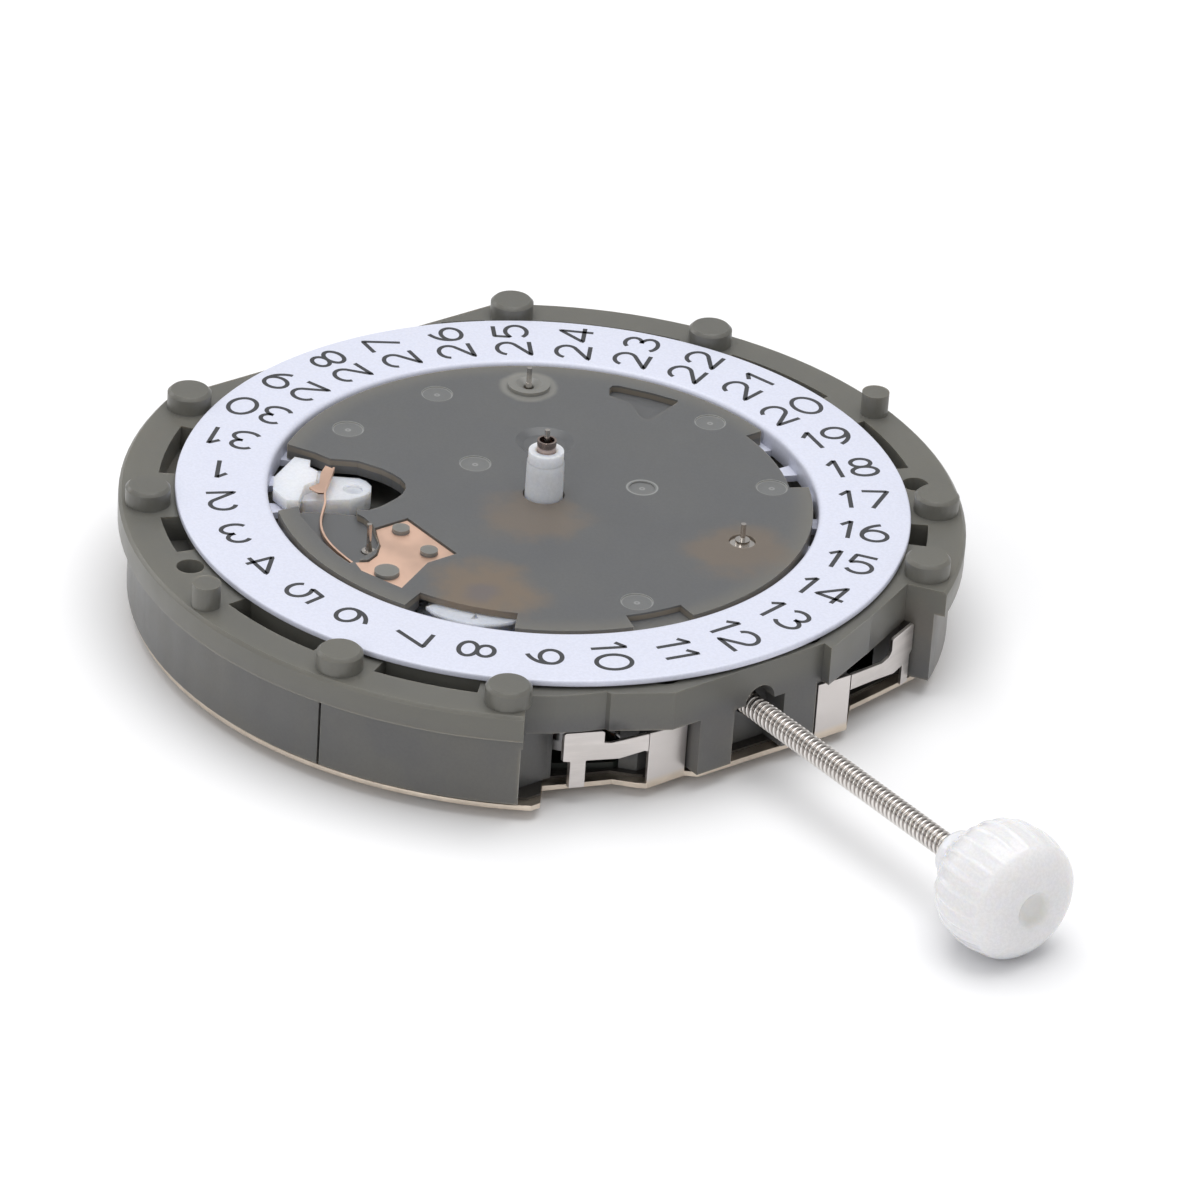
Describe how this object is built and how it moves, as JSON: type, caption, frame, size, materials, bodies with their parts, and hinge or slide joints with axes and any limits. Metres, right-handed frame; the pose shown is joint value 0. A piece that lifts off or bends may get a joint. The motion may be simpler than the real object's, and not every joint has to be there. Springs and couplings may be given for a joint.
{
  "type": "quartz watch movement",
  "caption": "Round quartz chronograph movement with a date ring, dial posts, sub-dial axles, pusher springs and a long threaded stem ending in a plastic crown.",
  "frame": {"origin": "on the centre axis of the hands, at the underside of the back cover", "axes": "+Z towards the dial, +X along the stem to the crown at 3 o'clock, +Y towards 12 o'clock"},
  "size_m": [0.042, 0.031, 0.0074],
  "materials": {
    "plate_plastic": "satin olive-grey moulded plastic, slightly translucent",
    "calendar_plastic": "satin grey moulded plastic, slightly translucent",
    "ring_plastic": "smooth blue-white printed plastic",
    "white_plastic": "smooth white moulded plastic",
    "crown_plastic": "milky translucent moulded plastic",
    "steel": "bright turned steel",
    "nickel": "nickel-plated spring sheet",
    "cover_sheet": "thin plated sheet, warm edge",
    "copper": "pale copper-alloy spring sheet",
    "brass": "clean brass",
    "winding": "enamelled copper wire",
    "iron": "soft magnetic sheet",
    "magnet": "dark sintered magnet",
    "black_plastic": "matt black",
    "board": "green circuit board",
    "film": "dark insulating film",
    "battery_can": "polished steel can"
  },
  "bodies": {
    "movement": {"main_plate": "plate_plastic", "calendar_plate": "calendar_plastic", "jumper_spring": "copper", "back_cover": "cover_sheet", "insulator_sheet": "film", "cover_screws": "steel", "circuit_board": "board", "control_chip": "black_plastic", "quartz_crystal": "battery_can", "battery": "battery_can", "battery_contact": "copper", "battery_clamp": "nickel", "stator": "iron", "coil_core": "iron", "coil_winding": "winding", "chrono_stator": "iron", "chrono_coil_core": "iron", "chrono_coil_winding": "winding", "train_bridge": "plate_plastic", "bridge_screws": "steel"},
    "rotor": {"rotor_pinion": "white_plastic", "rotor_magnet": "magnet"},
    "intermediate_wheel": {"intermediate_wheel": "white_plastic"},
    "small_seconds": {"small_seconds_wheel": "white_plastic", "small_seconds_arbor": "steel"},
    "third_wheel": {"third_wheel": "brass"},
    "minute_hand_pipe": {"minute_pipe": "steel", "minute_gear": "brass"},
    "motion_wheel": {"motion_wheel": "brass"},
    "hour_wheel": {"hour_wheel": "white_plastic"},
    "setting_wheel": {"setting_wheel": "steel"},
    "date_idler": {"date_idler": "white_plastic"},
    "date_driver": {"date_driver": "white_plastic"},
    "day_idler": {"day_idler": "white_plastic"},
    "day_hand_axle": {"day_wheel": "brass", "day_arbor": "steel"},
    "chrono_rotor": {"chrono_rotor_pinion": "white_plastic", "chrono_rotor_magnet": "magnet"},
    "chrono_intermediate_wheel": {"chrono_intermediate_wheel": "white_plastic"},
    "chrono_seconds": {"chrono_seconds_wheel": "brass", "chrono_seconds_arbor": "steel"},
    "counter_intermediate_wheel": {"counter_intermediate_wheel": "brass"},
    "counter_hand_axle": {"counter_wheel": "brass", "counter_arbor": "steel"},
    "date_ring": {"date_ring": "ring_plastic"},
    "date_jumper": {"date_jumper": "white_plastic"},
    "pusher_spring_low": {"pusher_spring_low": "nickel"},
    "pusher_spring_high": {"pusher_spring_high": "nickel"},
    "yoke": {"yoke": "steel"},
    "sliding_pinion": {"sliding_pinion": "steel"},
    "stem": {"stem": "steel", "crown": "crown_plastic"},
    "setting_lever": {"setting_lever": "nickel"}
  },
  "joints": [
    {"name": "small_seconds_turn", "type": "hinge", "parent": "movement", "child": "small_seconds", "pos_m": [-0.0002, -0.00765, 0.002], "axis": [0, 0, 1], "continuous": true},
    {"name": "rotor_turn", "type": "hinge", "parent": "movement", "child": "rotor", "pos_m": [0.00267, -0.0093, 0.002], "axis": [0, 0, 1], "continuous": true},
    {"name": "intermediate_turn", "type": "hinge", "parent": "movement", "child": "intermediate_wheel", "pos_m": [0.00109, -0.00873, 0.002], "axis": [0, 0, 1], "continuous": true},
    {"name": "third_turn", "type": "hinge", "parent": "movement", "child": "third_wheel", "pos_m": [0.00017, -0.00391, 0.002], "axis": [0, 0, 1], "continuous": true},
    {"name": "minute_turn", "type": "hinge", "parent": "movement", "child": "minute_hand_pipe", "pos_m": [0, 0, 0.002], "axis": [0, 0, 1], "continuous": true},
    {"name": "motion_turn", "type": "hinge", "parent": "movement", "child": "motion_wheel", "pos_m": [0.00195, 0.00046, 0.002], "axis": [0, 0, 1], "continuous": true},
    {"name": "hour_turn", "type": "hinge", "parent": "movement", "child": "hour_wheel", "pos_m": [0, 0, 0.002], "axis": [0, 0, 1], "continuous": true},
    {"name": "setting_turn", "type": "hinge", "parent": "movement", "child": "setting_wheel", "pos_m": [0.0043, 0, 0.002], "axis": [0, 0, 1], "continuous": true},
    {"name": "date_idler_turn", "type": "hinge", "parent": "movement", "child": "date_idler", "pos_m": [0.00087, -0.00308, 0.002], "axis": [0, 0, 1], "continuous": true},
    {"name": "date_driver_turn", "type": "hinge", "parent": "movement", "child": "date_driver", "pos_m": [0.0042, -0.0058, 0.002], "axis": [0, 0, 1], "continuous": true},
    {"name": "day_idler_turn", "type": "hinge", "parent": "movement", "child": "day_idler", "pos_m": [0.00213, 0.00277, 0.002], "axis": [0, 0, 1], "continuous": true},
    {"name": "day_hand_turn", "type": "hinge", "parent": "movement", "child": "day_hand_axle", "pos_m": [0.00652, 0.00416, 0.002], "axis": [0, 0, 1], "continuous": true},
    {"name": "chrono_seconds_turn", "type": "hinge", "parent": "movement", "child": "chrono_seconds", "pos_m": [0, 0, 0.002], "axis": [0, 0, 1], "continuous": true},
    {"name": "chrono_rotor_turn", "type": "hinge", "parent": "movement", "child": "chrono_rotor", "pos_m": [0.00138, 0.00312, 0.002], "axis": [0, 0, 1], "continuous": true},
    {"name": "chrono_intermediate_turn", "type": "hinge", "parent": "movement", "child": "chrono_intermediate_wheel", "pos_m": [0.00102, 0.00177, 0.002], "axis": [0, 0, 1], "continuous": true},
    {"name": "counter_intermediate_turn", "type": "hinge", "parent": "movement", "child": "counter_intermediate_wheel", "pos_m": [-0.00288, 0.00289, 0.002], "axis": [0, 0, 1], "continuous": true},
    {"name": "counter_turn", "type": "hinge", "parent": "movement", "child": "counter_hand_axle", "pos_m": [-0.00694, 0.00437, 0.002], "axis": [0, 0, 1], "continuous": true},
    {"name": "date_ring_turn", "type": "hinge", "parent": "movement", "child": "date_ring", "pos_m": [0, 0, 0.002], "axis": [0, 0, 1], "continuous": true},
    {"name": "date_jumper_lift", "type": "hinge", "parent": "movement", "child": "date_jumper", "pos_m": [-0.00458, -0.00525, 0.0036], "axis": [0, 0, 1], "range_deg": [-8, 0], "stiffness_Nm_per_rad": 0.00002},
    {"name": "pusher_low_press", "type": "hinge", "parent": "movement", "child": "pusher_spring_low", "pos_m": [0.0128, -0.00462, 0.0017], "axis": [0, 0, 1], "range_deg": [-5, 0], "stiffness_Nm_per_rad": 0.0005},
    {"name": "pusher_high_press", "type": "hinge", "parent": "movement", "child": "pusher_spring_high", "pos_m": [0.01329, 0.00398, 0.0017], "axis": [0, 0, 1], "range_deg": [0, 4], "stiffness_Nm_per_rad": 0.0005},
    {"name": "yoke_shift", "type": "slide", "parent": "movement", "child": "yoke", "axis": [1, 0, 0], "range_m": [-0.00035, 0]},
    {"name": "stem_turn", "type": "hinge", "parent": "yoke", "child": "sliding_pinion", "pos_m": [0.00695, 0, 0.00194], "axis": [1, 0, 0], "continuous": true},
    {"name": "stem_pull", "type": "slide", "parent": "sliding_pinion", "child": "stem", "axis": [1, 0, 0], "range_m": [0, 0.00125]},
    {"name": "setting_lever_turn", "type": "hinge", "parent": "movement", "child": "setting_lever", "pos_m": [0.01015, 0.0029, 0.0012], "axis": [0, 0, 1], "range_deg": [0, 17.65]}
  ],
  "couplings": [
    {"joint": "intermediate_turn", "follows": "small_seconds_turn", "ratio": -5},
    {"joint": "rotor_turn", "follows": "small_seconds_turn", "ratio": 30},
    {"joint": "third_turn", "follows": "small_seconds_turn", "ratio": -0.1},
    {"joint": "minute_turn", "follows": "small_seconds_turn", "ratio": 0.016667},
    {"joint": "motion_turn", "follows": "small_seconds_turn", "ratio": -0.0055556},
    {"joint": "hour_turn", "follows": "small_seconds_turn", "ratio": 0.0013889},
    {"joint": "setting_turn", "follows": "small_seconds_turn", "ratio": 0.0092593},
    {"joint": "date_idler_turn", "follows": "small_seconds_turn", "ratio": -0.00072751},
    {"joint": "date_driver_turn", "follows": "small_seconds_turn", "ratio": 0.00069444},
    {"joint": "day_idler_turn", "follows": "small_seconds_turn", "ratio": -0.00063657},
    {"joint": "day_hand_turn", "follows": "small_seconds_turn", "ratio": 0.00069444},
    {"joint": "chrono_intermediate_turn", "follows": "chrono_seconds_turn", "ratio": -7.5},
    {"joint": "chrono_rotor_turn", "follows": "chrono_seconds_turn", "ratio": 30},
    {"joint": "counter_intermediate_turn", "follows": "chrono_seconds_turn", "ratio": -0.13333},
    {"joint": "counter_turn", "follows": "chrono_seconds_turn", "ratio": 0.016667},
    {"joint": "yoke_shift", "follows": "stem_pull", "ratio": -0.28},
    {"joint": "setting_lever_turn", "follows": "stem_pull", "rad_per_m": 246.31}
  ]
}
